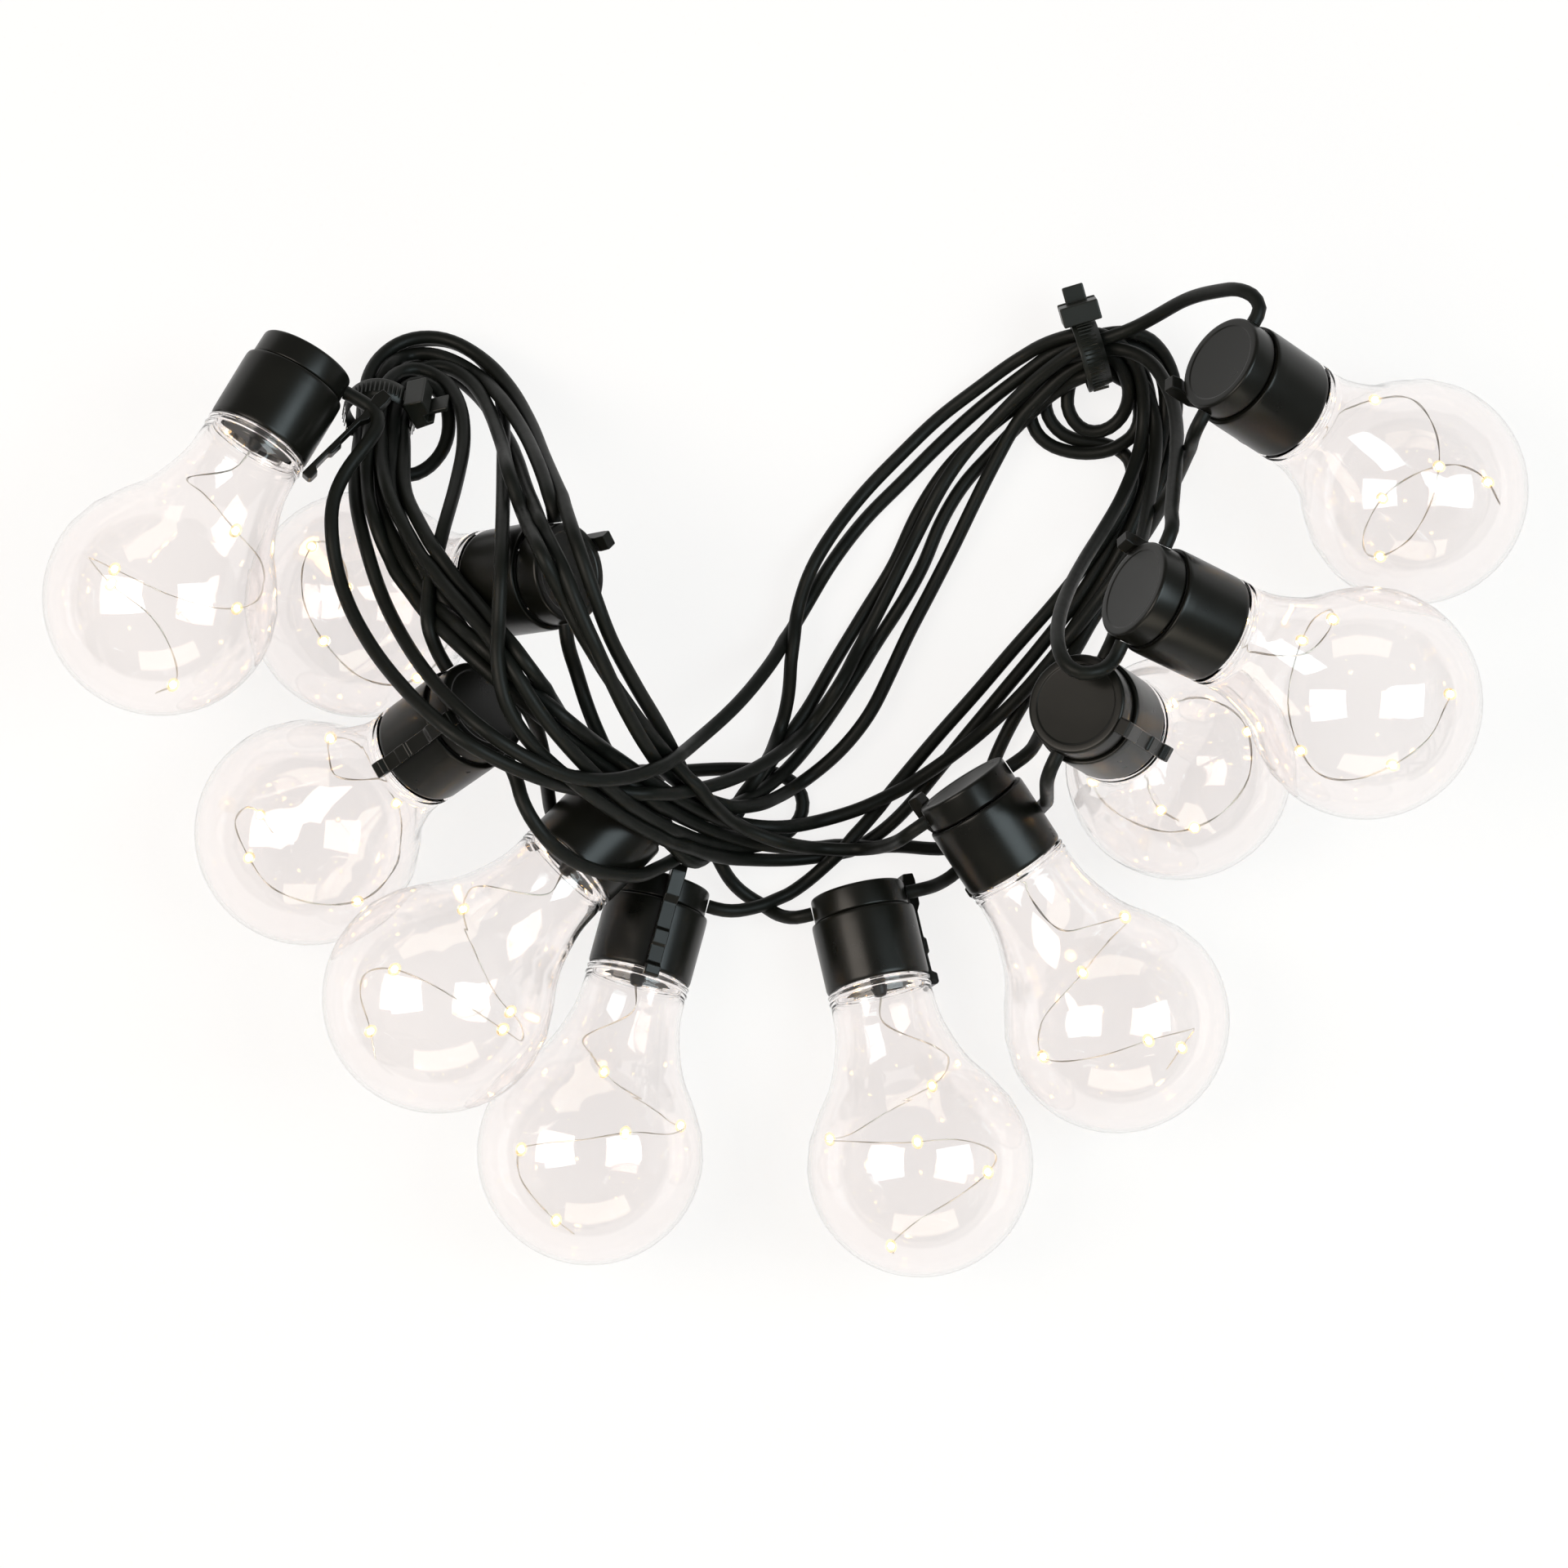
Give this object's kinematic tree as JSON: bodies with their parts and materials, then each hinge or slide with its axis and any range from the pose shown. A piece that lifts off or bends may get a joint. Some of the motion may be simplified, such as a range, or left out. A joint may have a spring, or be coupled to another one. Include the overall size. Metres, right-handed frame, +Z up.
{
  "type": "solar string lights",
  "caption": "String of clear round plastic party lamps with LED wire inside, on one black rubber cord folded into a cable-tied bundle and laid flat.",
  "frame": {"origin": "middle of the whole string's box, at the height of the surface that it lies on", "axes": "+X along the laid-out bundle's long side towards the lamps on its right, +Y towards the tied ends of the bundle, +Z up"},
  "size_m": [0.3853, 0.2667, 0.112],
  "materials": {
    "holder_plastic": "semi-gloss moulded",
    "clear_plastic": "clear polished plastic",
    "plug_plastic": "matt",
    "cord_rubber": "semi-matt extruded",
    "tie_nylon": "semi-gloss moulded"
  },
  "bodies": {
    "bundle": {"bundle_left": "cord_rubber", "bundle_loop": "cord_rubber", "bundle_upper": "cord_rubber", "bundle_right": "cord_rubber", "coil_small": "cord_rubber", "tie_left": "tie_nylon", "tie_right": "tie_nylon", "cord_lamp5": "cord_rubber", "cord_lamp7": "cord_rubber", "cord_lamp10": "cord_rubber", "lamp2_cap": "holder_plastic", "lamp2_shell": "holder_plastic", "lamp2_bulb": "clear_plastic", "lamp2_led_plug": "plug_plastic", "lamp5_cap": "holder_plastic", "lamp5_shell": "holder_plastic", "lamp5_bulb": "clear_plastic", "lamp5_led_plug": "plug_plastic", "lamp8_cap": "holder_plastic", "lamp8_shell": "holder_plastic", "lamp8_bulb": "clear_plastic", "lamp8_led_plug": "plug_plastic"},
    "lamp1": {"lamp1_cap": "holder_plastic", "lamp1_shell": "holder_plastic", "lamp1_bulb": "clear_plastic", "lamp1_led_plug": "plug_plastic"},
    "lamp1_clip": {"lamp1_clip": "holder_plastic"},
    "lamp2_clip": {"lamp2_clip": "holder_plastic"},
    "lamp3": {"lamp3_cap": "holder_plastic", "lamp3_shell": "holder_plastic", "lamp3_bulb": "clear_plastic", "lamp3_led_plug": "plug_plastic", "lamp3_clip": "holder_plastic"},
    "lamp4": {"lamp4_cap": "holder_plastic", "lamp4_shell": "holder_plastic", "lamp4_bulb": "clear_plastic", "lamp4_led_plug": "plug_plastic"},
    "lamp4_clip": {"lamp4_clip": "holder_plastic"},
    "lamp5_clip": {"lamp5_clip": "holder_plastic"},
    "lamp6": {"lamp6_cap": "holder_plastic", "lamp6_shell": "holder_plastic", "lamp6_bulb": "clear_plastic", "lamp6_led_plug": "plug_plastic"},
    "lamp6_clip": {"lamp6_clip": "holder_plastic"},
    "lamp7": {"lamp7_cap": "holder_plastic", "lamp7_shell": "holder_plastic", "lamp7_bulb": "clear_plastic", "lamp7_led_plug": "plug_plastic"},
    "lamp7_clip": {"lamp7_clip": "holder_plastic"},
    "lamp8_clip": {"lamp8_clip": "holder_plastic"},
    "lamp9": {"lamp9_cap": "holder_plastic", "lamp9_shell": "holder_plastic", "lamp9_bulb": "clear_plastic", "lamp9_led_plug": "plug_plastic"},
    "lamp9_clip": {"lamp9_clip": "holder_plastic"},
    "lamp10": {"lamp10_cap": "holder_plastic", "lamp10_shell": "holder_plastic", "lamp10_bulb": "clear_plastic", "lamp10_led_plug": "plug_plastic"},
    "lamp10_clip": {"lamp10_clip": "holder_plastic"}
  },
  "joints": [
    {"name": "lamp1_swing", "type": "hinge", "parent": "bundle", "child": "lamp1", "pos_m": [-0.12914, 0.10761, 0.04864], "axis": [-0.8746, 0.4848, 0], "range_deg": [0, 24]},
    {"name": "lamp1_clip_hinge", "type": "hinge", "parent": "lamp1", "child": "lamp1_clip", "pos_m": [-0.1283, 0.07942, 0.05514], "axis": [-0.1255, -0.2264, -0.9659], "range_deg": [-12, 0]},
    {"name": "lamp2_clip_hinge", "type": "hinge", "parent": "bundle", "child": "lamp2_clip", "pos_m": [-0.07217, 0.05866, 0.05066], "axis": [-0.4102, 0.8277, 0.383], "range_deg": [0, 28]},
    {"name": "lamp3_swing", "type": "hinge", "parent": "bundle", "child": "lamp3", "pos_m": [-0.08175, 0.01744, 0.07439], "axis": [-0.5446, 0.8387, 0], "range_deg": [0, 12]},
    {"name": "lamp4_swing", "type": "hinge", "parent": "bundle", "child": "lamp4", "pos_m": [-0.04368, -0.00609, 0.03856], "axis": [-0.712, 0.7022, 0], "range_deg": [0, 24]},
    {"name": "lamp4_clip_hinge", "type": "hinge", "parent": "lamp4", "child": "lamp4_clip", "pos_m": [-0.07021, -0.01728, 0.03565], "axis": [-0.3276, 0.5833, 0.7433], "range_deg": [0, 28]},
    {"name": "lamp5_clip_hinge", "type": "hinge", "parent": "bundle", "child": "lamp5_clip", "pos_m": [-0.03914, -0.05158, 0.03315], "axis": [0.9327, -0.2983, -0.2026], "range_deg": [0, 28]},
    {"name": "lamp6_swing", "type": "hinge", "parent": "bundle", "child": "lamp6", "pos_m": [0.01692, -0.03282, 0.01378], "axis": [-0.9748, -0.2233, 0], "range_deg": [0, 28]},
    {"name": "lamp6_clip_hinge", "type": "hinge", "parent": "lamp6", "child": "lamp6_clip", "pos_m": [0.03531, -0.05516, 0.01328], "axis": [-0.3822, -0.2949, -0.8758], "range_deg": [0, 15]},
    {"name": "lamp7_swing", "type": "hinge", "parent": "bundle", "child": "lamp7", "pos_m": [0.04502, -0.00341, 0.03754], "axis": [-0.8339, -0.5519, 0], "range_deg": [0, 28]},
    {"name": "lamp7_clip_hinge", "type": "hinge", "parent": "lamp7", "child": "lamp7_clip", "pos_m": [0.04907, -0.0295, 0.02571], "axis": [-0.4918, -0.4216, 0.7618], "range_deg": [0, 28]},
    {"name": "lamp8_clip_hinge", "type": "hinge", "parent": "bundle", "child": "lamp8_clip", "pos_m": [0.09247, 0.00745, 0.07826], "axis": [0.4658, 0.8847, 0.0164], "range_deg": [0, 28]},
    {"name": "lamp9_swing", "type": "hinge", "parent": "bundle", "child": "lamp9", "pos_m": [0.0859, 0.04646, 0.09961], "axis": [-0.4067, -0.9135, 0], "range_deg": [0, 28]},
    {"name": "lamp9_clip_hinge", "type": "hinge", "parent": "lamp9", "child": "lamp9_clip", "pos_m": [0.10657, 0.0484, 0.07945], "axis": [-0.5708, -0.5199, -0.6355], "range_deg": [0, 28]},
    {"name": "lamp10_swing", "type": "hinge", "parent": "bundle", "child": "lamp10", "pos_m": [0.11031, 0.10556, 0.06927], "axis": [-0.4756, -0.8796, 0], "range_deg": [0, 22]},
    {"name": "lamp10_clip_hinge", "type": "hinge", "parent": "lamp10", "child": "lamp10_clip", "pos_m": [0.11914, 0.09026, 0.04635], "axis": [-0.0564, -0.8404, 0.5391], "range_deg": [0, 28]}
  ]
}
